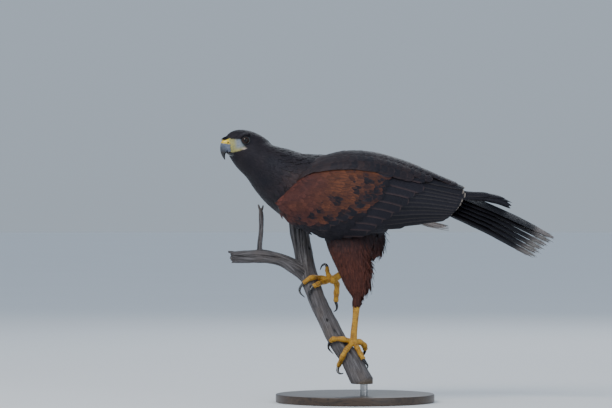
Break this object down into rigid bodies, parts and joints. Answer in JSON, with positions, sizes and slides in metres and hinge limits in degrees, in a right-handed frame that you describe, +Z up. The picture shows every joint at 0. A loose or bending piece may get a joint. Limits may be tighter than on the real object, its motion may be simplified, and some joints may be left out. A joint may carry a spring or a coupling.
{
  "type": "harris hawk on a perch",
  "caption": "Life-size standing model of a dark brown and chestnut bird of prey leaning forward on a cut length of dead branch, held by a round display base.",
  "frame": {"origin": "centre of the underside of the round stand base, on the surface that it stands on", "axes": "+Z up; the hawk faces -X and its left side, the near side in the picture, is towards -Y"},
  "size_m": [0.4834, 0.23, 0.3961],
  "materials": {
    "dark_plumage": "matt feathers, blackish brown",
    "chestnut_plumage": "matt feathers, rufous brown",
    "yellow_skin": "scaled bare skin, satin",
    "cere_skin": "waxy bare skin, satin",
    "bill_horn": "polished horn, blue grey to black",
    "talon_horn": "polished black horn",
    "eye_gloss": "wet gloss, dark brown",
    "dead_wood": "weathered, grey and cracked",
    "stand_wood": "dark stain, satin",
    "stand_steel": "brushed"
  },
  "bodies": {
    "root": {"head": "dark_plumage", "neck": "dark_plumage", "torso": "dark_plumage", "wing_left": "dark_plumage", "wing_right": "dark_plumage", "tail": "dark_plumage", "thigh_left": "chestnut_plumage", "thigh_right": "chestnut_plumage", "tarsus_left": "yellow_skin", "tarsus_right": "yellow_skin", "foot_left": "yellow_skin", "foot_right": "yellow_skin", "cere": "cere_skin", "bill_upper": "bill_horn", "bill_lower": "bill_horn", "talon_left_1": "talon_horn", "talon_left_2": "talon_horn", "talon_left_3": "talon_horn", "talon_left_4": "talon_horn", "talon_right_1": "talon_horn", "talon_right_2": "talon_horn", "talon_right_3": "talon_horn", "talon_right_4": "talon_horn", "eye_left": "eye_gloss", "eye_right": "eye_gloss", "perch_branch": "dead_wood", "perch_limb": "dead_wood", "perch_twig": "dead_wood", "stand_base": "stand_wood", "stand_rod": "stand_steel"}
  },
  "joints": []
}
